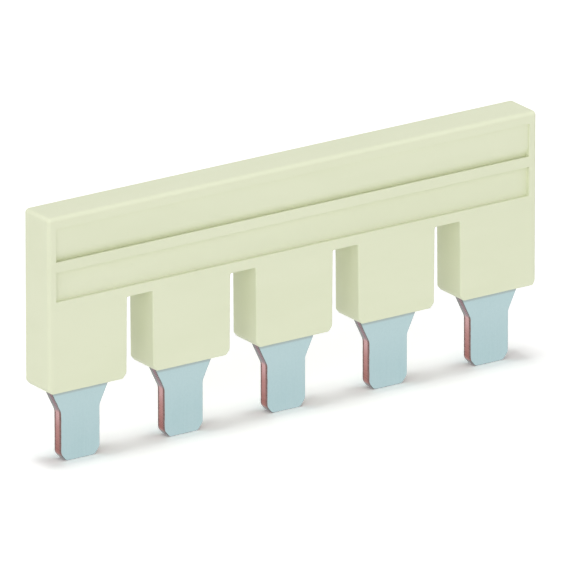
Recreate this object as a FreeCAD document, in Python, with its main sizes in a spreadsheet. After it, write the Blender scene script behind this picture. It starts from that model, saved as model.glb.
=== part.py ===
import FreeCAD, Part
import os
import Sketcher

# Insulated jumper bar for a row of terminal blocks: a stamped contact comb with one tab for each
# terminal, held in a moulded housing with one leg round the root of each tab.
# Millimetres. X runs along the bar, the marked face looks to -Y, and the tabs point down with
# their tips at z = 0.

SIZES = [
    # Layout of the poles
    ("pole_count", 5, "tabs on the bar"),
    ("pole_pitch", 8.0, "spacing of the terminals in the row"),
    # Housing
    ("housing_thickness", 2.7, "front face to back face"),
    ("end_extra", 0.07, "plastic added at each end of the bar"),
    ("edge_radius", 0.35, "rounding of the front's top and ends"),
    ("back_edge_radius", 0.12, "rounding of the back's top and ends"),
    # Legs and the gaps between them
    ("leg_width", 5.95, "width of a leg at its foot"),
    ("leg_height", 5.5, "foot to the roof of the gap"),
    ("leg_draft", 0.5, "draft of the gap's sides, in degrees"),
    ("foot_chamfer_width", 0.28, "corner of a foot, along the bar"),
    ("foot_chamfer_height", 0.34, "corner of a foot, upwards"),
    ("gap_corner_radius", 0.1, "inside corners of the gap's roof"),
    ("gap_edge_radius", 0.12, "rounding of the gap's edges"),
    # Marking strips and grip groove in the front face, from the gaps' roof up
    ("strip_rise", 0.71, "face between the roof of a gap and the lower strip"),
    ("lower_strip_height", 2.0, "height of the lower strip"),
    ("lower_strip_depth", 0.28, "depth of the lower strip"),
    ("strip_spacing", 0.71, "face between the two strips"),
    ("upper_strip_height", 2.23, "upper strip, down to the lip of the grip groove"),
    ("upper_strip_depth", 0.12, "depth of the upper strip"),
    ("grip_groove_height", 0.64, "sloped band at the foot of the upper strip"),
    ("grip_groove_drop", 0.12, "bottom of the groove below its lip"),
    ("grip_groove_depth", 0.42, "depth of the groove at its bottom"),
    ("face_above_strips", 0.8, "face between the upper strip and the top"),
    ("strip_end_margin", 0.6, "plain face left at each end of the strips"),
    ("strip_corner_radius", 0.06, "corners of the strips"),
    ("strip_rim_radius", 0.05, "rounding of the strips' rims"),
    # Contact comb
    ("sheet_thickness", 0.8, "strip that the comb is stamped from"),
    ("tab_reach", 5.1, "tip of a tab to the foot of its leg"),
    ("tab_width", 3.0, "straight part of a tab"),
    ("tab_straight", 3.35, "height of the straight part"),
    ("shoulder_angle", 25.5, "slope of the shoulder from upright, in degrees"),
    ("tip_chamfer_width", 0.4, "corner of a tip, across the tab"),
    ("tip_chamfer_height", 0.5, "corner of a tip, upwards"),
    ("leg_side_wall", 0.575, "plastic beside the shank, at the foot"),
    ("spine_rise", 0.7, "plastic below the spine, over the gaps"),
    ("spine_height", 2.7, "height of the spine that joins the tabs"),
    ("spine_corner_radius", 0.5, "inside corners between shank and spine"),
    ("punch_radius", 0.15, "corners of the stamped outline"),
    ("coined_bevel", 0.06, "bevel pressed on the tabs' edges"),
    ("lock_hole_diameter", 1.6, "hole that the housing's plastic fills"),
    ("lock_hole_rise", 2.6, "foot of the leg to the lock hole's centre"),
    # Fit of the comb in the housing
    ("moulding_clearance", 0.02, "gap left all round the comb"),
]

# How far a cutting outline runs past the face that it opens
OVERCUT = 1.0

# Points of the model closer than this are taken as level
TOLERANCE = 1e-3

doc = FreeCAD.newDocument("jumper_bar")
sheet = doc.addObject("Spreadsheet::Sheet", "Sizes")
for row, (alias, value, meaning) in enumerate(SIZES, start=1):
    sheet.set("A%d" % row, meaning)
    sheet.set("B%d" % row, str(value))
    sheet.setAlias("B%d" % row, alias)
doc.recompute()


def size(expression):
    """The value that an expression in the sheet's names has now."""
    return float(sheet.evalExpression(expression))


# Expressions that several outlines share
FIRST_POLE = "(-(Sizes.pole_count - 1) * Sizes.pole_pitch / 2)"
HALF_LENGTH = "(((Sizes.pole_count - 1) * Sizes.pole_pitch + Sizes.leg_width) / 2 + Sizes.end_extra)"
HALF_THICKNESS = "(Sizes.housing_thickness / 2)"
HALF_GAP_FOOT = "((Sizes.pole_pitch - Sizes.leg_width) / 2)"
HALF_GAP_CHAMFER = "(%s + Sizes.foot_chamfer_width)" % HALF_GAP_FOOT
HALF_GAP_ROOF = "(%s - Sizes.leg_height * tan(Sizes.leg_draft * 1 deg))" % HALF_GAP_FOOT
STRIP_LENGTH = "(2 * (%s - Sizes.strip_end_margin))" % HALF_LENGTH

# Levels of the housing, upwards
FOOT = "Sizes.tab_reach"
CHAMFER_TOP = "(%s + Sizes.foot_chamfer_height)" % FOOT
ROOF = "(%s + Sizes.leg_height)" % FOOT
LOWER_STRIP_FOOT = "(%s + Sizes.strip_rise)" % ROOF
LOWER_STRIP_TOP = "(%s + Sizes.lower_strip_height)" % LOWER_STRIP_FOOT
LEDGE = "(%s + Sizes.strip_spacing)" % LOWER_STRIP_TOP
UPPER_STRIP_TOP = "(%s + Sizes.upper_strip_height)" % LEDGE
TOP = "(%s + Sizes.face_above_strips)" % UPPER_STRIP_TOP

HALF_TAB = "(Sizes.tab_width / 2)"
HALF_TIP = "(%s - Sizes.tip_chamfer_width)" % HALF_TAB
HALF_SHANK = "(Sizes.leg_width / 2 - Sizes.leg_side_wall)"
SHOULDER_HEIGHT = "((%s - %s) / tan(Sizes.shoulder_angle * 1 deg))" % (HALF_SHANK, HALF_TAB)
SHOULDER_TOP = "(Sizes.tab_straight + %s)" % SHOULDER_HEIGHT
SPINE_FOOT = "(%s + Sizes.spine_rise)" % ROOF
SPINE_MIDDLE = "(%s + Sizes.spine_height / 2)" % SPINE_FOOT
SPINE_TOP = "(%s + Sizes.spine_height)" % SPINE_FOOT
HALF_SPINE = "((Sizes.pole_count - 1) * Sizes.pole_pitch / 2 + %s)" % HALF_SHANK
HOLE_CENTRE = "(%s + Sizes.lock_hole_rise)" % FOOT
CLEARANCE = "Sizes.moulding_clearance"


# Sketches and features

def new_body(label):
    body = doc.addObject("PartDesign::Body", label)
    body.Label = label
    return body


def origin_feature(body, role):
    """One of the body's own origin planes or axes."""
    return next(item for item in body.Origin.OriginFeatures if item.Role == role)


def new_sketch(body, name, plane, shift="0"):
    """A sketch on one of the body's origin planes, moved along the bar by shift."""
    sketch = body.newObject("Sketcher::SketchObject", name)
    sketch.AttachmentSupport = (origin_feature(body, plane), "")
    sketch.MapMode = "FlatFace"
    sketch.setExpression("AttachmentOffset.Base.x", shift)
    return sketch


def tie(sketch, kind, geometry, point, expression):
    """Hold a point of the sketch at a distance from its origin."""
    place = sketch.addConstraint(Sketcher.Constraint(kind, -1, 1, geometry, point, size(expression)))
    sketch.setExpression("Constraints[%d]" % place, expression)


def draw_outline(sketch, corners):
    """A closed outline of straight lines, each corner a pair of expressions."""
    first = sketch.GeometryCount
    count = len(corners)
    places = [FreeCAD.Vector(size(u), size(v), 0) for u, v in corners]
    for index in range(count):
        sketch.addGeometry(Part.LineSegment(places[index], places[(index + 1) % count]), False)
    for index in range(count):
        following = first + (index + 1) % count
        sketch.addConstraint(Sketcher.Constraint("Coincident", first + index, 2, following, 1))
    for index, (u, v) in enumerate(corners):
        tie(sketch, "DistanceX", first + index, 1, u)
        tie(sketch, "DistanceY", first + index, 1, v)


def draw_mirrored(sketch, right_side):
    """An outline that is the same on both sides of the sketch's upright axis, top corner first."""
    left_side = [("-" + u, v) for u, v in reversed(right_side)]
    draw_outline(sketch, right_side + left_side)


def draw_circle(sketch, height, diameter):
    """A circle on the sketch's upright axis."""
    centre = FreeCAD.Vector(0, size(height), 0)
    circle = sketch.addGeometry(Part.Circle(centre, FreeCAD.Vector(0, 0, 1), size(diameter) / 2), False)
    sketch.addConstraint(Sketcher.Constraint("PointOnObject", circle, 3, -2))
    tie(sketch, "DistanceY", circle, 3, height)
    place = sketch.addConstraint(Sketcher.Constraint("Diameter", circle, size(diameter)))
    sketch.setExpression("Constraints[%d]" % place, diameter)


def extrude(body, kind, name, sketch, length):
    """A pad or pocket that reaches as far to both sides of its sketch."""
    feature = body.newObject("PartDesign::" + kind, name)
    feature.Profile = sketch
    feature.SideType = "Symmetric"
    feature.setExpression("Length", length)
    body.Tip = feature
    doc.recompute()
    return feature


def repeat_along_bar(body, name, feature, count):
    """Copies of a feature along the bar, one pitch apart."""
    pattern = body.newObject("PartDesign::LinearPattern", name)
    pattern.Originals = [feature]
    pattern.Direction = (origin_feature(body, "X_Axis"), [""])
    pattern.Mode = "Spacing"
    pattern.setExpression("Offset", "Sizes.pole_pitch")
    pattern.setExpression("Occurrences", count)
    body.Tip = pattern
    doc.recompute()
    return pattern


def dress_edges(body, kind, name, chosen, measure, expression):
    """A fillet or chamfer on those edges of the body that chosen(start, end, middle) picks."""
    base = body.Tip
    names = []
    for number, edge in enumerate(base.Shape.Edges, start=1):
        start, end = edge.valueAt(edge.FirstParameter), edge.valueAt(edge.LastParameter)
        middle = edge.valueAt((edge.FirstParameter + edge.LastParameter) / 2)
        if chosen(start, end, middle):
            names.append("Edge%d" % number)
    feature = body.newObject("PartDesign::" + kind, name)
    feature.Base = (base, names)
    feature.setExpression(measure, expression)
    body.Tip = feature
    doc.recompute()


def round_edges(body, name, chosen, radius):
    dress_edges(body, "Fillet", name, chosen, "Radius", radius)


def bevel_edges(body, name, chosen, width):
    dress_edges(body, "Chamfer", name, chosen, "Size", width)


def near(first, second):
    return abs(first - second) < TOLERANCE


def runs_across(start, end):
    """Whether an edge runs from front to back."""
    return near(start.x, end.x) and near(start.z, end.z)


# Insulating housing

housing = new_body("insulating_housing")

block_outline = new_sketch(housing, "BlockOutline", "XZ_Plane")
HALF_BLOCK_FOOT = "(%s - Sizes.foot_chamfer_width)" % HALF_LENGTH
draw_mirrored(block_outline, [
    (HALF_LENGTH, TOP), (HALF_LENGTH, CHAMFER_TOP), (HALF_BLOCK_FOOT, FOOT),
])
extrude(housing, "Pad", "Block", block_outline, "Sizes.housing_thickness")

first_gap = "%s + Sizes.pole_pitch / 2" % FIRST_POLE
gap_outline = new_sketch(housing, "GapOutline", "XZ_Plane", first_gap)
below_foot = "(%s - %s)" % (FOOT, OVERCUT)
draw_mirrored(gap_outline, [
    (HALF_GAP_ROOF, ROOF), (HALF_GAP_FOOT, CHAMFER_TOP),
    (HALF_GAP_CHAMFER, FOOT), (HALF_GAP_CHAMFER, below_foot),
])
through_housing = "Sizes.housing_thickness + 2 * %s" % OVERCUT
gap = extrude(housing, "Pocket", "Gap", gap_outline, through_housing)
repeat_along_bar(housing, "Gaps", gap, "Sizes.pole_count - 1")

half_length, half_thickness = size(HALF_LENGTH), size(HALF_THICKNESS)
foot, chamfer_top, roof, top = size(FOOT), size(CHAMFER_TOP), size(ROOF), size(TOP)


def is_roof_corner(start, end, middle):
    return runs_across(start, end) and near(middle.z, roof)


def is_outer_edge(start, end, middle):
    on_back = near(start.y, half_thickness) and near(end.y, half_thickness)
    on_top = near(start.z, top) and near(end.z, top)
    at_end = near(abs(start.x), half_length) and near(abs(end.x), half_length)
    upright = near(start.y, end.y) and not near(start.z, end.z)
    return not on_back and (on_top or (at_end and upright))


def is_back_edge(start, end, middle):
    on_back = near(start.y, half_thickness) and near(end.y, half_thickness)
    beside_end = abs(middle.x) > half_length - size("Sizes.edge_radius")
    outermost = beside_end or middle.z > top - TOLERANCE
    return on_back and outermost and middle.z > chamfer_top


def is_gap_edge(start, end, middle):
    on_face = near(abs(start.y), half_thickness) and near(start.y, end.y)
    beside_gap = chamfer_top < middle.z < roof + TOLERANCE
    return on_face and beside_gap and abs(middle.x) < half_length - size("Sizes.edge_radius")


round_edges(housing, "GapCorners", is_roof_corner, "Sizes.gap_corner_radius")
round_edges(housing, "OuterEdges", is_outer_edge, "Sizes.edge_radius")
round_edges(housing, "BackEdges", is_back_edge, "Sizes.back_edge_radius")
round_edges(housing, "GapEdges", is_gap_edge, "Sizes.gap_edge_radius")


def cut_strip(name, section):
    """Cut a strip that has this section into the front face, along the bar."""
    sketch = new_sketch(housing, name + "Section", "YZ_Plane")
    draw_outline(sketch, section)
    extrude(housing, "Pocket", name, sketch, STRIP_LENGTH)


in_front = "(-%s - %s)" % (HALF_THICKNESS, OVERCUT)
upper_floor = "(Sizes.upper_strip_depth - %s)" % HALF_THICKNESS
lower_floor = "(Sizes.lower_strip_depth - %s)" % HALF_THICKNESS
groove_floor = "(Sizes.grip_groove_depth - %s)" % HALF_THICKNESS
groove_top = "(%s + Sizes.grip_groove_height)" % LEDGE
groove_bottom = "(%s - Sizes.grip_groove_drop)" % LEDGE
front_face = "-" + HALF_THICKNESS
cut_strip("UpperStrip", [
    (in_front, UPPER_STRIP_TOP), (upper_floor, UPPER_STRIP_TOP), (upper_floor, groove_top),
    (groove_floor, groove_bottom), (front_face, LEDGE), (in_front, LEDGE),
])
cut_strip("LowerStrip", [
    (in_front, LOWER_STRIP_TOP), (lower_floor, LOWER_STRIP_TOP),
    (lower_floor, LOWER_STRIP_FOOT), (in_front, LOWER_STRIP_FOOT),
])

strip_end = size(STRIP_LENGTH) / 2
strip_levels = [size(level) for level in (UPPER_STRIP_TOP, LEDGE, LOWER_STRIP_TOP, LOWER_STRIP_FOOT)]


def is_strip_corner(start, end, middle):
    at_level = any(near(middle.z, level) for level in strip_levels)
    return runs_across(start, end) and near(abs(middle.x), strip_end) and at_level


def is_strip_rim(start, end, middle):
    on_front = near(start.y, -half_thickness) and near(end.y, -half_thickness)
    within = abs(middle.x) < strip_end + TOLERANCE
    between = strip_levels[-1] - TOLERANCE < middle.z < strip_levels[0] + TOLERANCE
    return on_front and within and between


round_edges(housing, "StripCorners", is_strip_corner, "Sizes.strip_corner_radius")
round_edges(housing, "StripRims", is_strip_rim, "Sizes.strip_rim_radius")

# Seat of the comb in the housing, with a plastic pin through each lock hole
seat_depth = "Sizes.sheet_thickness + 2 * %s" % CLEARANCE
half_seat = "(%s + %s)" % (HALF_SHANK, CLEARANCE)
shank_seat_outline = new_sketch(housing, "ShankSeatOutline", "XZ_Plane", FIRST_POLE)
draw_mirrored(shank_seat_outline, [(half_seat, SPINE_MIDDLE), (half_seat, below_foot)])
draw_circle(shank_seat_outline, HOLE_CENTRE, "Sizes.lock_hole_diameter - 2 * %s" % CLEARANCE)
shank_seat = extrude(housing, "Pocket", "ShankSeat", shank_seat_outline, seat_depth)
repeat_along_bar(housing, "ShankSeats", shank_seat, "Sizes.pole_count")

half_spine_seat = "(%s + %s)" % (HALF_SPINE, CLEARANCE)
spine_seat_top = "(%s + %s)" % (SPINE_TOP, CLEARANCE)
spine_seat_foot = "(%s - %s)" % (SPINE_FOOT, CLEARANCE)
spine_seat_outline = new_sketch(housing, "SpineSeatOutline", "XZ_Plane")
draw_mirrored(spine_seat_outline, [
    (half_spine_seat, spine_seat_top), (half_spine_seat, spine_seat_foot),
])
extrude(housing, "Pocket", "SpineSeat", spine_seat_outline, seat_depth)

half_spine = size(HALF_SPINE)


def is_seat_corner(start, end, middle):
    inside = abs(middle.x) < half_spine - TOLERANCE
    return runs_across(start, end) and near(middle.z, size(spine_seat_foot)) and inside


round_edges(housing, "SeatCorners", is_seat_corner, "Sizes.spine_corner_radius - %s" % CLEARANCE)


# Contact comb

comb = new_body("contact_comb")

spine_outline = new_sketch(comb, "SpineOutline", "XZ_Plane")
draw_mirrored(spine_outline, [(HALF_SPINE, SPINE_TOP), (HALF_SPINE, SPINE_FOOT)])
extrude(comb, "Pad", "Spine", spine_outline, "Sizes.sheet_thickness")

prong_outline = new_sketch(comb, "ProngOutline", "XZ_Plane", FIRST_POLE)
draw_mirrored(prong_outline, [
    (HALF_SHANK, SPINE_MIDDLE), (HALF_SHANK, SHOULDER_TOP), (HALF_TAB, "Sizes.tab_straight"),
    (HALF_TAB, "Sizes.tip_chamfer_height"), (HALF_TIP, "0"),
])
prong = extrude(comb, "Pad", "Prong", prong_outline, "Sizes.sheet_thickness")
repeat_along_bar(comb, "Prongs", prong, "Sizes.pole_count")

lock_hole_outline = new_sketch(comb, "LockHoleOutline", "XZ_Plane", FIRST_POLE)
draw_circle(lock_hole_outline, HOLE_CENTRE, "Sizes.lock_hole_diameter")
lock_hole = extrude(comb, "Pocket", "LockHole", lock_hole_outline, through_housing)
repeat_along_bar(comb, "LockHoles", lock_hole, "Sizes.pole_count")

spine_foot, shoulder_top = size(SPINE_FOOT), size(SHOULDER_TOP)
half_sheet = size("Sizes.sheet_thickness") / 2


def is_spine_corner(start, end, middle):
    inside = abs(middle.x) < half_spine - TOLERANCE
    return runs_across(start, end) and near(middle.z, spine_foot) and inside


def is_punched_corner(start, end, middle):
    return runs_across(start, end) and middle.z < shoulder_top - TOLERANCE


def is_tab_edge(start, end, middle):
    on_face = near(abs(start.y), half_sheet) and near(start.y, end.y)
    return on_face and middle.z < shoulder_top


round_edges(comb, "SpineCorners", is_spine_corner, "Sizes.spine_corner_radius")
round_edges(comb, "PunchedCorners", is_punched_corner, "Sizes.punch_radius")
bevel_edges(comb, "TabEdges", is_tab_edge, "Sizes.coined_bevel")


# Check and export

doc.recompute()
for item in doc.Objects:
    if "Invalid" in item.State or "Error" in item.State:
        raise RuntimeError("%s did not build: %s" % (item.Name, item.State))

os.makedirs("parts", exist_ok=True)
for body in (housing, comb):
    shape = body.Shape
    if shape.isNull() or not shape.isValid() or len(shape.Solids) != 1:
        raise RuntimeError("%s is not one sound solid" % body.Label)
    box = shape.BoundBox
    print("%s: volume %.3f, x %.2f to %.2f, y %.2f to %.2f, z %.2f to %.2f" % (
        body.Label, shape.Volume, box.XMin, box.XMax, box.YMin, box.YMax, box.ZMin, box.ZMax))
    shape.exportStep("parts/%s.step" % body.Label)
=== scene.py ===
import math

import bmesh
import bpy
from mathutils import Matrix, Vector


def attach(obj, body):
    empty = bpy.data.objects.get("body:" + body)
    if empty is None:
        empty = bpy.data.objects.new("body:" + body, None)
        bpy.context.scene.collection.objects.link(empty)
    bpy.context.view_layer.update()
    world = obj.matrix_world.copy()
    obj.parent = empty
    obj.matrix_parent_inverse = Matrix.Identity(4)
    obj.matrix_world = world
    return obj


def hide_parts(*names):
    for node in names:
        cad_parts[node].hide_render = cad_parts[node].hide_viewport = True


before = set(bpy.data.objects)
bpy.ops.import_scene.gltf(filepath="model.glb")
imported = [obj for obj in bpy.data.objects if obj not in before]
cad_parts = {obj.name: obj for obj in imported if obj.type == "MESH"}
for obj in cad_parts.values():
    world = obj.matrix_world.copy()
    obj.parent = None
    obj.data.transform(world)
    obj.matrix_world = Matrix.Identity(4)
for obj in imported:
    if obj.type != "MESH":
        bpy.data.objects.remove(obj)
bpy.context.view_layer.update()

MM = 0.001

# Sizes in millimetres, as in the part's source, which has no rolled edge on the stamping

POLES = 5
PITCH = 8.0
POLE_PLACES = [(index - (POLES - 1) / 2) * PITCH for index in range(POLES)]

THICKNESS = 2.7
END_EXTRA = 0.07
EDGE_RADIUS = 0.35
BACK_EDGE_RADIUS = 0.12
LEG_WIDTH = 5.95
LEG_HEIGHT = 5.5
LEG_DRAFT = math.radians(0.5)
FOOT_CHAMFER_WIDTH = 0.28
FOOT_CHAMFER_HEIGHT = 0.34
GAP_CORNER_RADIUS = 0.1
GAP_EDGE_RADIUS = 0.12
STRIP_RISE = 0.71
LOWER_STRIP_HEIGHT = 2.0
STRIP_SPACING = 0.71
UPPER_STRIP_HEIGHT = 2.23
GROOVE_HEIGHT = 0.64
GROOVE_DROP = 0.12
GROOVE_DEPTH = 0.42
FACE_ABOVE_STRIPS = 0.8
STRIP_END_MARGIN = 0.6
UPPER_STRIP_DEPTH = 0.12
LOWER_STRIP_DEPTH = 0.28
STRIP_CORNER_RADIUS = 0.06
STRIP_RIM_RADIUS = 0.05

SHEET = 0.8
TAB_REACH = 5.1
TAB_WIDTH = 3.0
TAB_STRAIGHT = 3.35
SHOULDER_ANGLE = math.radians(25.5)
TIP_CHAMFER_WIDTH = 0.4
TIP_CHAMFER_HEIGHT = 0.5
LEG_SIDE_WALL = 0.575
SPINE_RISE = 0.7
SPINE_HEIGHT = 2.7
SPINE_CORNER_RADIUS = 0.5
PUNCH_RADIUS = 0.15
ROLLED_EDGE_RADIUS = 0.06
LOCK_HOLE_DIAMETER = 1.6
LOCK_HOLE_RISE = 2.6
CLEARANCE = 0.02

HALF_LENGTH = ((POLES - 1) * PITCH + LEG_WIDTH) / 2 + END_EXTRA
HALF_THICKNESS = THICKNESS / 2
FOOT = TAB_REACH
CHAMFER_TOP = FOOT + FOOT_CHAMFER_HEIGHT
ROOF = FOOT + LEG_HEIGHT
LOWER_STRIP_FOOT = ROOF + STRIP_RISE
LOWER_STRIP_TOP = LOWER_STRIP_FOOT + LOWER_STRIP_HEIGHT
LEDGE = LOWER_STRIP_TOP + STRIP_SPACING
UPPER_STRIP_TOP = LEDGE + UPPER_STRIP_HEIGHT
TOP = UPPER_STRIP_TOP + FACE_ABOVE_STRIPS
HALF_GAP_FOOT = (PITCH - LEG_WIDTH) / 2
HALF_GAP_ROOF = HALF_GAP_FOOT - LEG_HEIGHT * math.tan(LEG_DRAFT)
OUTER_LEG_MIDDLE = HALF_LENGTH - LEG_WIDTH / 2
STRIP_END = HALF_LENGTH - STRIP_END_MARGIN

HALF_SHEET = SHEET / 2
HALF_TAB = TAB_WIDTH / 2
HALF_TIP = HALF_TAB - TIP_CHAMFER_WIDTH
HALF_SHANK = LEG_WIDTH / 2 - LEG_SIDE_WALL
SHOULDER_TOP = TAB_STRAIGHT + (HALF_SHANK - HALF_TAB) / math.tan(SHOULDER_ANGLE)
SPINE_FOOT = ROOF + SPINE_RISE
SPINE_TOP = SPINE_FOOT + SPINE_HEIGHT
HALF_SPINE = (POLES - 1) * PITCH / 2 + HALF_SHANK
HOLE_CENTRE = FOOT + LOCK_HOLE_RISE
HOLE_RADIUS = LOCK_HOLE_DIAMETER / 2
HOLE_SIDES = 40

# How far a cutting shape runs past the face that it opens
OVERCUT = 1.0

# Lengths closer than this are the same, and an edge is picked at a place with this much to spare
SAME = 1e-4
SPARE = 0.01

# Corners closer than this are joined: after a cut, and between two rounds of bevels
JOIN_CUT = 1e-4
JOIN_BEVEL = 1e-3

# Bends in degrees, from which a moulded edge is rounded, a stamped edge is rolled, and any edge is shaded sharp
MOULDED_BEND = 25
STAMPED_BEND = 45
SHADED_BEND = 35

# Colours, and the borders between them in millimetres: up the tab, or from the middle plane of the sheet

PLASTIC = (0.742, 0.776, 0.567, 1), (0.762, 0.794, 0.589, 1)
PLASTIC_SPECK = (0.721, 0.753, 0.540, 1)
PLASTIC_ROUGHNESS = 0.46, 0.58

TIN = (0.452, 0.610, 0.630, 1), (0.470, 0.627, 0.646, 1)
CLOUDED_TIN = (0.493, 0.633, 0.653, 1)
# The paler tin up the tab is painted light. It stands in for a brighter reflection above the shadowed floor near
# the tip.
TIN_PAINTED_PALER_UP = (0.518, 0.668, 0.684, 1)
# The dull tin at the moulding is painted shade: a dark band that stands in for the contact shadow under the
# housing.
TIN_PAINTED_SHADE_AT_MOULDING = (0.40, 0.47, 0.46, 1)
TIN_PAINTED_PALER_RISE = 0.6, 4.4
TIN_PAINTED_SHADE_RISE = 4.5, 4.68
TIN_ROUGHNESS = 0.4, 0.52

# Copper up the tab is painted light. It is darker and redder near the tip as painted shade, and paler near the
# shoulder as a painted highlight.
COPPER_PAINTED_SHADE_LOW = (0.34, 0.14, 0.122, 1)
MIDDLE_COPPER = (0.45, 0.217, 0.2, 1)
COPPER_PAINTED_HIGHLIGHT = (0.60, 0.36, 0.355, 1)
TORN_COPPER = (0.56, 0.32, 0.30, 1)
BURNISHED_COPPER = (0.20, 0.115, 0.105, 1), (0.25, 0.145, 0.135, 1)
# The near-black cut at the tip is painted shade. It stands in for the reflection of the shadowed floor under the
# tab.
TIP_CUT_PAINTED_SHADE = (0.06, 0.045, 0.045, 1)
COPPER_PAINTED_SHADE_FADES = 0.7, 2.0
COPPER_PAINTED_HIGHLIGHT_RISE = 2.0, 3.2
COPPER_TURNS_BURNISHED = 0.18, 0.23
TIP_PAINTED_SHADE_FADES = TIP_CHAMFER_HEIGHT, 0.3
CUT_TURNS_BARE = 0.395, 0.38
CUT_WANDER = 0.03
COPPER_ROUGHNESS = 0.24, 0.34

# The shoulder cut is darkened as painted shade. Its grey half is tin smeared over the cut.
SHOULDER_CUT_SMEAR_AND_SHADE = (0.27, 0.165, 0.185, 1), (0.25, 0.245, 0.245, 1)
SHOULDER_BORDER = (0.18, 0.175, 0.165, 1)
SHOULDER_BEGINS = 3.3, 3.55
SHOULDER_TURNS_TIN = -0.03, 0.06
SHOULDER_TURNS_BORDER = 0.26, 0.31
SHOULDER_WANDER = 0.1

# Values of a noise between which a colour sets in: over most of the surface, or only in specks, clouds and tears
MOST = 0.3, 0.7
SPECKS = 0.66, 0.8
CLOUDS = 0.35, 0.7
TEARS = 0.35, 0.75

# Heights of the finest relief, in millimetres, and how much of the tin's comes from its rolling lines
MOULDED_RELIEF = 0.0025
PLATED_RELIEF = 0.002
ROLLED_SHARE = 0.4


# Shapes, in millimetres until they are finished

def prism(outline, half_depth, axis="y"):
    """A solid whose outline, in x and z or in y and z, runs the same distance both ways."""
    bm = bmesh.new()
    if axis == "y":
        corners = [Vector((u, -half_depth, v)) for u, v in outline]
        way = Vector((0, 2 * half_depth, 0))
    else:
        corners = [Vector((-half_depth, u, v)) for u, v in outline]
        way = Vector((2 * half_depth, 0, 0))
    face = bm.faces.new([bm.verts.new(corner) for corner in corners])
    grown = bmesh.ops.extrude_face_region(bm, geom=[face])
    moved = [item for item in grown["geom"] if isinstance(item, bmesh.types.BMVert)]
    bmesh.ops.translate(bm, verts=moved, vec=way)
    bmesh.ops.recalc_face_normals(bm, faces=bm.faces)
    return bm


def bend_of(edge):
    """How far the two faces of an edge turn away from each other, in degrees."""
    if len(edge.link_faces) != 2:
        return 0.0
    return math.degrees(edge.calc_face_angle(0.0))


def runs_across(edge):
    """Whether an edge runs from front to back."""
    start, end = (vert.co for vert in edge.verts)
    return abs(start.x - end.x) < SAME and abs(start.z - end.z) < SAME


def round_off(bm, chosen, radius, segments):
    edges = [edge for edge in bm.edges if chosen(edge)]
    bmesh.ops.bevel(
        bm, geom=edges, offset=radius, offset_type="OFFSET", segments=segments, profile=0.5,
        affect="EDGES", clamp_overlap=True)


def to_object(bm, name):
    mesh = bpy.data.meshes.new(name)
    bm.to_mesh(mesh)
    bm.free()
    obj = bpy.data.objects.new(name, mesh)
    bpy.context.scene.collection.objects.link(obj)
    return obj


def from_object(obj):
    bm = bmesh.new()
    bm.from_mesh(obj.data)
    remove(obj)
    return bm


def remove(obj):
    mesh = obj.data
    bpy.data.objects.remove(obj)
    bpy.data.meshes.remove(mesh)


def apply_modifiers(obj):
    depsgraph = bpy.context.evaluated_depsgraph_get()
    made = bpy.data.meshes.new_from_object(obj.evaluated_get(depsgraph))
    old = obj.data
    obj.modifiers.clear()
    obj.data = made
    bpy.data.meshes.remove(old)


def carve(bm, cutter):
    """The shape with the cutter's volume taken out."""
    body = to_object(bm, "carved")
    tool = to_object(cutter, "cutter")
    cut = body.modifiers.new("cut", "BOOLEAN")
    cut.operation = "DIFFERENCE"
    cut.solver = "EXACT"
    cut.object = tool
    apply_modifiers(body)
    remove(tool)
    made = from_object(body)
    # The cut gives its corners in a new order each run, so they are joined in the order of their places
    corners = sorted(made.verts, key=lambda vert: vert.co[:])
    bmesh.ops.remove_doubles(made, verts=corners, dist=JOIN_CUT)
    return made


def finish_piece(bm, name, material, node):
    """Turn the shape into a piece in metres that stands for its node."""
    bmesh.ops.scale(bm, vec=(MM, MM, MM), verts=bm.verts)
    for face in bm.faces:
        face.smooth = True
    for edge in bm.edges:
        edge.smooth = bend_of(edge) < SHADED_BEND
    obj = to_object(bm, name)
    obj.data.materials.append(material)
    weighted = obj.modifiers.new("weighted", "WEIGHTED_NORMAL")
    weighted.keep_sharp = True
    weighted.weight = 100
    apply_modifiers(obj)
    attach(obj, "root")
    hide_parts(node)


# Insulating housing

def housing_outline():
    outline = [(-HALF_LENGTH, TOP), (-HALF_LENGTH, CHAMFER_TOP), (-HALF_LENGTH + FOOT_CHAMFER_WIDTH, FOOT)]
    side = [(HALF_GAP_FOOT + FOOT_CHAMFER_WIDTH, FOOT), (HALF_GAP_FOOT, CHAMFER_TOP), (HALF_GAP_ROOF, ROOF)]
    for left, right in zip(POLE_PLACES, POLE_PLACES[1:]):
        middle = (left + right) / 2
        outline += [(middle - u, v) for u, v in side]
        outline += [(middle + u, v) for u, v in reversed(side)]
    outline += [(HALF_LENGTH - FOOT_CHAMFER_WIDTH, FOOT), (HALF_LENGTH, CHAMFER_TOP), (HALF_LENGTH, TOP)]
    return outline


def strip_cutter(section):
    """A prism along the bar with rounded corners, seen from the front."""
    cutter = prism(section, STRIP_END, axis="x")

    def at_corner(edge):
        start = edge.verts[0].co
        return runs_across(edge) and abs(abs(start.x) - STRIP_END) < SAME

    round_off(cutter, at_corner, STRIP_CORNER_RADIUS, segments=6)
    return cutter


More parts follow.
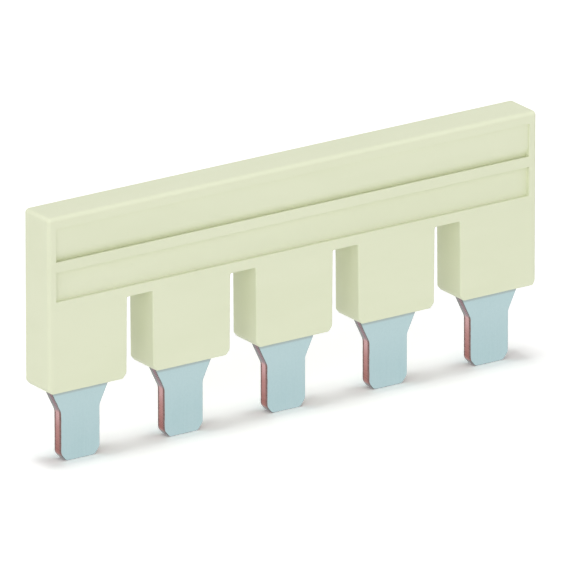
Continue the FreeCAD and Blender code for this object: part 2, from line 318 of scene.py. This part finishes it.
def make_housing():
    """The moulding without the seat of the comb."""
    bm = prism(housing_outline(), HALF_THICKNESS)

    def roof_corner(edge):
        return runs_across(edge) and abs(edge.verts[0].co.z - ROOF) < SAME

    def gap_edge(edge):
        places = [vert.co for vert in edge.verts]
        beside_gap = all(abs(place.x) < OUTER_LEG_MIDDLE for place in places)
        below_roof = all(place.z < ROOF + SAME for place in places)
        return beside_gap and below_roof and not runs_across(edge) and bend_of(edge) > MOULDED_BEND

    def outer_edge(edge):
        start, end = (vert.co for vert in edge.verts)
        at_back = start.y > 0 and end.y > 0
        on_top = all(abs(place.z - TOP) < SAME for place in (start, end))
        at_end = all(abs(abs(place.x) - HALF_LENGTH) < SAME for place in (start, end))
        upright = abs(start.y - end.y) < SAME and abs(start.z - end.z) > SAME
        return not at_back and (on_top or (at_end and upright))

    def still_sharp(edge):
        return bend_of(edge) > MOULDED_BEND

    # The corners that the bevels leave on one spot are joined, or the last bevel would come out far too small
    round_off(bm, roof_corner, GAP_CORNER_RADIUS, segments=6)
    round_off(bm, gap_edge, GAP_EDGE_RADIUS, segments=4)
    round_off(bm, outer_edge, EDGE_RADIUS, segments=8)
    bmesh.ops.remove_doubles(bm, verts=bm.verts, dist=JOIN_BEVEL)
    round_off(bm, still_sharp, BACK_EDGE_RADIUS, segments=4)

    # The upper strip with the undercut groove along its foot, then the lower strip
    in_front = -HALF_THICKNESS - OVERCUT
    upper_floor = UPPER_STRIP_DEPTH - HALF_THICKNESS
    lower_floor = LOWER_STRIP_DEPTH - HALF_THICKNESS
    groove_floor = GROOVE_DEPTH - HALF_THICKNESS
    bm = carve(bm, strip_cutter([
        (in_front, UPPER_STRIP_TOP), (upper_floor, UPPER_STRIP_TOP), (upper_floor, LEDGE + GROOVE_HEIGHT),
        (groove_floor, LEDGE - GROOVE_DROP), (-HALF_THICKNESS, LEDGE), (in_front, LEDGE),
    ]))
    bm = carve(bm, strip_cutter([
        (in_front, LOWER_STRIP_TOP), (lower_floor, LOWER_STRIP_TOP),
        (lower_floor, LOWER_STRIP_FOOT), (in_front, LOWER_STRIP_FOOT),
    ]))

    def strip_edge(edge):
        places = [vert.co for vert in edge.verts]
        within = all(
            abs(place.x) < STRIP_END + SPARE and LOWER_STRIP_FOOT - SPARE < place.z < UPPER_STRIP_TOP + SPARE
            for place in places)
        return within and all(place.y < 0 for place in places) and bend_of(edge) > MOULDED_BEND

    round_off(bm, strip_edge, STRIP_RIM_RADIUS, segments=3)
    return bm


# Contact comb

def make_comb():
    outline = [(-HALF_SPINE, SPINE_TOP)]
    side = [
        (HALF_SHANK, SPINE_FOOT), (HALF_SHANK, SHOULDER_TOP), (HALF_TAB, TAB_STRAIGHT),
        (HALF_TAB, TIP_CHAMFER_HEIGHT), (HALF_TIP, 0),
    ]
    for index, pole in enumerate(POLE_PLACES):
        left = side[1:] if index == 0 else side
        right = side[1:] if index == POLES - 1 else side
        outline += [(pole - u, v) for u, v in left]
        outline += [(pole + u, v) for u, v in reversed(right)]
    outline += [(HALF_SPINE, SPINE_TOP)]
    bm = prism(outline, HALF_SHEET)

    def spine_corner(edge):
        start = edge.verts[0].co
        return runs_across(edge) and abs(start.z - SPINE_FOOT) < SAME and abs(start.x) < HALF_SPINE - SPARE

    def punched_corner(edge):
        return runs_across(edge) and edge.verts[0].co.z < SHOULDER_TOP - SPARE

    def tab_edge(edge):
        start, end = (vert.co for vert in edge.verts)
        low = (start.z + end.z) / 2 < SHOULDER_TOP
        return low and not runs_across(edge) and bend_of(edge) > STAMPED_BEND

    round_off(bm, spine_corner, SPINE_CORNER_RADIUS, segments=6)
    round_off(bm, punched_corner, PUNCH_RADIUS, segments=5)
    round_off(bm, tab_edge, ROLLED_EDGE_RADIUS, segments=4)
    for pole in POLE_PLACES:
        bm = carve(bm, pin_shape(pole, HOLE_RADIUS, HALF_SHEET + OVERCUT))
    return bm


def pin_shape(pole, radius, half_depth):
    """A round bar from front to back, at the height of the lock holes."""
    turn = 2 * math.pi / HOLE_SIDES
    return prism([
        (pole + radius * math.cos(step * turn), HOLE_CENTRE + radius * math.sin(step * turn))
        for step in range(HOLE_SIDES)], half_depth)


# Seat of the comb in the housing, with the plastic pins left standing

def seat_cutter():
    half_seat = HALF_SHANK + CLEARANCE
    outline = [(-HALF_SPINE - CLEARANCE, SPINE_TOP + CLEARANCE)]
    for index, pole in enumerate(POLE_PLACES):
        if index:
            outline += [(pole - half_seat, SPINE_FOOT - CLEARANCE)]
        outline += [(pole - half_seat, FOOT - OVERCUT), (pole + half_seat, FOOT - OVERCUT)]
        if index < POLES - 1:
            outline += [(pole + half_seat, SPINE_FOOT - CLEARANCE)]
    outline += [(HALF_SPINE + CLEARANCE, SPINE_TOP + CLEARANCE)]
    cutter = prism(outline, HALF_SHEET + CLEARANCE)

    def seat_corner(edge):
        start = edge.verts[0].co
        return runs_across(edge) and abs(start.z - SPINE_FOOT + CLEARANCE) < SAME

    round_off(cutter, seat_corner, SPINE_CORNER_RADIUS - CLEARANCE, segments=6)
    for pole in POLE_PLACES:
        cutter = carve(cutter, pin_shape(pole, HOLE_RADIUS - CLEARANCE, HALF_SHEET + OVERCUT))
    return cutter


# Materials

def new_material(name):
    material = bpy.data.materials.new(name)
    material.use_nodes = True
    material.node_tree.nodes.clear()
    return material


def node(tree, kind, inputs=None, **settings):
    """A node with these settings, whose inputs are numbers, colours or other nodes' outputs."""
    made = tree.nodes.new(kind)
    for name, value in settings.items():
        setattr(made, name, value)
    for name, value in (inputs or {}).items():
        socket = made.inputs[name]
        if isinstance(value, bpy.types.NodeSocket):
            tree.links.new(value, socket)
        else:
            socket.default_value = value
    return made


def math_node(tree, operation, first, second=0.0, third=0.0):
    return node(tree, "ShaderNodeMath", {0: first, 1: second, 2: third}, operation=operation).outputs[0]


def grain(tree, place, scale, stretch=(1, 1, 1), detail=2.0, roughness=0.5):
    """Noise from 0 to 1. The scale counts grains in a millimetre."""
    mapped = node(tree, "ShaderNodeMapping", {"Vector": place, "Scale": stretch}, vector_type="POINT")
    made = node(tree, "ShaderNodeTexNoise", {
        "Vector": mapped.outputs[0], "Scale": scale / MM, "Detail": detail, "Roughness": roughness})
    return made.outputs["Fac"]


def between(tree, value, low, high, to_low=0.0, to_high=1.0):
    """The value eased from one range to another."""
    made = node(tree, "ShaderNodeMapRange", {
        "Value": value, "From Min": low, "From Max": high, "To Min": to_low, "To Max": to_high,
    }, interpolation_type="SMOOTHSTEP")
    return made.outputs["Result"]


def past(tree, length, border, share=1.0):
    """From 0 to the share, as a length in metres passes a border in millimetres."""
    start, end = border
    return between(tree, length, start * MM, end * MM, 0, share)


def blend_numbers(tree, share, first, second):
    return node(tree, "ShaderNodeMix", {0: share, 2: first, 3: second}, data_type="FLOAT").outputs[0]


def blend_colours(tree, share, first, second):
    return node(tree, "ShaderNodeMix", {0: share, 6: first, 7: second}, data_type="RGBA").outputs[2]


def bump(tree, height, distance):
    return node(tree, "ShaderNodeBump", {
        "Height": height, "Distance": distance * MM, "Strength": 1.0}).outputs["Normal"]


def moulded_plastic():
    """Fine satin moulding in pale green ivory, with a faint flow of the melt along the bar."""
    material = new_material("moulded_polyamide")
    tree = material.node_tree
    place = node(tree, "ShaderNodeTexCoord").outputs["Object"]
    flow = grain(tree, place, scale=0.35, stretch=(0.25, 1, 1), detail=3)
    speck = grain(tree, place, scale=5.0)
    skin = grain(tree, place, scale=14.0, detail=3, roughness=0.6)
    colour = blend_colours(tree, between(tree, flow, *MOST), *PLASTIC)
    colour = blend_colours(tree, between(tree, speck, *SPECKS, 0, 0.5), colour, PLASTIC_SPECK)
    shader = node(tree, "ShaderNodeBsdfPrincipled", {
        "Base Color": colour,
        "Roughness": between(tree, skin, *MOST, *PLASTIC_ROUGHNESS),
        "IOR": 1.53,
        "Specular IOR Level": 0.32,
        "Normal": bump(tree, skin, MOULDED_RELIEF),
    })
    node(tree, "ShaderNodeOutputMaterial", {"Surface": shader.outputs[0]})
    return material


def tin_with_painted_light(tree, place, height, rolled):
    """Tin, with painted light that makes it paler up the tab, and painted shade in a dark band where the
    moulding meets it.
    """
    cloud = grain(tree, place, scale=0.5)
    tin = blend_colours(tree, between(tree, rolled, *MOST), *TIN)
    tin = blend_colours(tree, between(tree, cloud, *CLOUDS, 0, 0.35), tin, CLOUDED_TIN)
    # Painted light: the tin turns paler up the tab
    tin = blend_colours(tree, past(tree, height, TIN_PAINTED_PALER_RISE, share=0.8), tin, TIN_PAINTED_PALER_UP)
    # Painted shade: the tin darkens in a thin band just under the moulding
    return blend_colours(tree, past(tree, height, TIN_PAINTED_SHADE_RISE, share=0.85), tin, TIN_PAINTED_SHADE_AT_MOULDING)


def copper_with_painted_light(tree, height, depth, torn):
    """Copper, darker and redder towards the tip as painted shade, with a painted highlight higher up the tab,
    and burnished dark along both sides of the cut.
    """
    # Painted shade: the copper darkens towards the tip
    copper = blend_colours(tree, past(tree, height, COPPER_PAINTED_SHADE_FADES), COPPER_PAINTED_SHADE_LOW, MIDDLE_COPPER)
    # Painted highlight: the copper turns paler towards the shoulder
    copper = blend_colours(tree, past(tree, height, COPPER_PAINTED_HIGHLIGHT_RISE), copper, COPPER_PAINTED_HIGHLIGHT)
    copper = blend_colours(tree, between(tree, torn, *TEARS, 0, 0.2), copper, TORN_COPPER)
    burnished = blend_colours(tree, between(tree, torn, *MOST), *BURNISHED_COPPER)
    return blend_colours(tree, past(tree, depth, COPPER_TURNS_BURNISHED), copper, burnished)


def shoulder_smear_and_shade(tree, across, depth):
    """The cut of the shoulders, darkened as painted shade, where the tin is smeared over the back half."""
    smeared = blend_colours(tree, past(tree, across, SHOULDER_TURNS_TIN), *SHOULDER_CUT_SMEAR_AND_SHADE)
    return blend_colours(tree, past(tree, depth, SHOULDER_TURNS_BORDER), smeared, SHOULDER_BORDER)


def plated_sheet():
    """Matt tin on the rolled faces of the sheet, bare copper where the punch has cut it."""
    material = new_material("tinned_copper")
    tree = material.node_tree
    place = node(tree, "ShaderNodeTexCoord").outputs["Object"]
    parts = node(tree, "ShaderNodeSeparateXYZ", {"Vector": place})
    height = parts.outputs["Z"]
    rolled = grain(tree, place, scale=5.0, stretch=(1.6, 1, 0.06), detail=3)
    matt = grain(tree, place, scale=9.0, detail=3, roughness=0.6)
    torn = grain(tree, place, scale=7.0, stretch=(1, 0.1, 1), detail=3, roughness=0.6)

    # Distances from the middle plane of the sheet, which wander a little along the cut
    wander = math_node(tree, "SUBTRACT", grain(tree, place, scale=2.5, detail=3), 0.5)
    across = math_node(tree, "MULTIPLY_ADD", wander, SHOULDER_WANDER * MM, parts.outputs["Y"])
    depth = math_node(tree, "ABSOLUTE", parts.outputs["Y"])
    depth = math_node(tree, "MULTIPLY_ADD", wander, CUT_WANDER * MM, depth)
    bare = past(tree, depth, CUT_TURNS_BARE)

    # The cut of the sheet carries painted shade at the tip and on the shoulders, and a painted highlight up the
    # tab
    cut = blend_colours(
        tree, past(tree, height, SHOULDER_BEGINS),
        copper_with_painted_light(tree, height, depth, torn), shoulder_smear_and_shade(tree, across, depth))
    # Painted shade: the cut turns near black at the tip
    cut = blend_colours(tree, past(tree, height, TIP_PAINTED_SHADE_FADES), cut, TIP_CUT_PAINTED_SHADE)

    tin_relief = blend_numbers(tree, ROLLED_SHARE, matt, rolled)
    tin_roughness = between(tree, matt, *MOST, *TIN_ROUGHNESS)
    copper_roughness = between(tree, torn, *MOST, *COPPER_ROUGHNESS)
    shader = node(tree, "ShaderNodeBsdfPrincipled", {
        "Base Color": blend_colours(tree, bare, tin_with_painted_light(tree, place, height, rolled), cut),
        "Metallic": 1.0,
        "Roughness": blend_numbers(tree, bare, tin_roughness, copper_roughness),
        "Normal": bump(tree, blend_numbers(tree, bare, tin_relief, torn), PLATED_RELIEF),
    })
    node(tree, "ShaderNodeOutputMaterial", {"Surface": shader.outputs[0]})
    return material


# Floor, light and camera

# The floor's side in metres, and how pale it is for the light that it sends on and for the camera
FLOOR_SIZE = 4.0
FLOOR_COLOUR = 0.9
FLOOR_SEEN = 1.21

# Soft room light, brightest low down and in front of the bar
ROOM_LEVEL = 1.175
ROOM_LEAN = (-0.19, -0.28, -0.95)

# Two broad lamps: one to the left of the camera, and one overhead, which lays the bar's shadow along its feet.
# Each has its strength, its breadth in degrees and the way from the bar to the lamp.
LAMPS = {
    "key": (0.35, 40, (-0.75, -0.55, 0.42)),
    "overhead": (1.1, 16, (-0.035, 0.025, 1.0)),
}

# Long lens, turned to the left of the front and above. The distance and the target are in millimetres.
AZIMUTH = math.radians(34.322)
ELEVATION = math.radians(19.433)
DISTANCE = 1227.6
TARGET = Vector((0.087, 0, 8.507))
LENS = 1205.8
SENSOR = 36


def reflected_rays(tree, path):
    """1 for the rays that come from a mirroring or clear surface."""
    return math_node(tree, "MAXIMUM", path.outputs["Is Glossy Ray"], path.outputs["Is Transmission Ray"])


def make_floor():
    """A floor that the camera and reflections see as plain white, with the bar's shadow for the camera."""
    shape = bmesh.new()
    bmesh.ops.create_grid(shape, x_segments=1, y_segments=1, size=FLOOR_SIZE / 2)
    floor = to_object(shape, "floor")
    material = new_material("plain_white")
    tree = material.node_tree
    path = node(tree, "ShaderNodeLightPath")
    level = blend_numbers(tree, path.outputs["Is Camera Ray"], FLOOR_COLOUR, FLOOR_SEEN)
    grey = node(tree, "ShaderNodeCombineColor", {0: level, 1: level, 2: level}).outputs[0]
    matt = node(tree, "ShaderNodeBsdfDiffuse", {"Color": grey})
    white = node(tree, "ShaderNodeEmission", {"Strength": 1.0})
    surface = node(tree, "ShaderNodeMixShader", {
        0: reflected_rays(tree, path), 1: matt.outputs[0], 2: white.outputs[0]})
    node(tree, "ShaderNodeOutputMaterial", {"Surface": surface.outputs[0]})
    # The white is there for reflections alone and gives no light of its own
    material.cycles.emission_sampling = "NONE"
    floor.data.materials.append(material)


def make_world():
    """The room's light, behind a background that the camera and reflections see as plain white."""
    world = bpy.data.worlds.new("studio")
    bpy.context.scene.world = world
    world.use_nodes = True
    tree = world.node_tree
    tree.nodes.clear()
    direction = node(tree, "ShaderNodeTexCoord").outputs["Generated"]
    lean = node(tree, "ShaderNodeVectorMath", {0: direction, 1: ROOM_LEAN}, operation="DOT_PRODUCT")
    room = math_node(tree, "ADD", lean.outputs["Value"], ROOM_LEVEL)
    path = node(tree, "ShaderNodeLightPath")
    seen = math_node(tree, "MAXIMUM", path.outputs["Is Camera Ray"], reflected_rays(tree, path))
    background = node(tree, "ShaderNodeBackground", {
        "Color": (1, 1, 1, 1), "Strength": blend_numbers(tree, seen, room, 1.0)})
    node(tree, "ShaderNodeOutputWorld", {"Surface": background.outputs[0]})


def make_lamps():
    for name, (energy, breadth, way) in LAMPS.items():
        data = bpy.data.lights.new(name, "SUN")
        data.energy = energy
        data.angle = math.radians(breadth)
        lamp = bpy.data.objects.new(name, data)
        bpy.context.scene.collection.objects.link(lamp)
        lamp.rotation_mode = "QUATERNION"
        lamp.rotation_quaternion = Vector(way).to_track_quat("Z", "Y")


def make_camera():
    data = bpy.data.cameras.new("camera")
    data.lens = LENS
    data.sensor_width = SENSOR
    camera = bpy.data.objects.new("camera", data)
    bpy.context.scene.collection.objects.link(camera)
    back = Vector((
        -math.sin(AZIMUTH) * math.cos(ELEVATION), -math.cos(AZIMUTH) * math.cos(ELEVATION), math.sin(ELEVATION)))
    camera.location = (TARGET + back * DISTANCE) * MM
    camera.rotation_mode = "QUATERNION"
    camera.rotation_quaternion = (-back).to_track_quat("-Z", "Y")
    bpy.context.scene.camera = camera


housing = carve(make_housing(), seat_cutter())
finish_piece(housing, "moulded_housing", moulded_plastic(), "insulating_housing")
finish_piece(make_comb(), "stamped_comb", plated_sheet(), "contact_comb")

make_floor()
make_world()
make_lamps()
make_camera()
bpy.context.scene.view_settings.view_transform = "Standard"
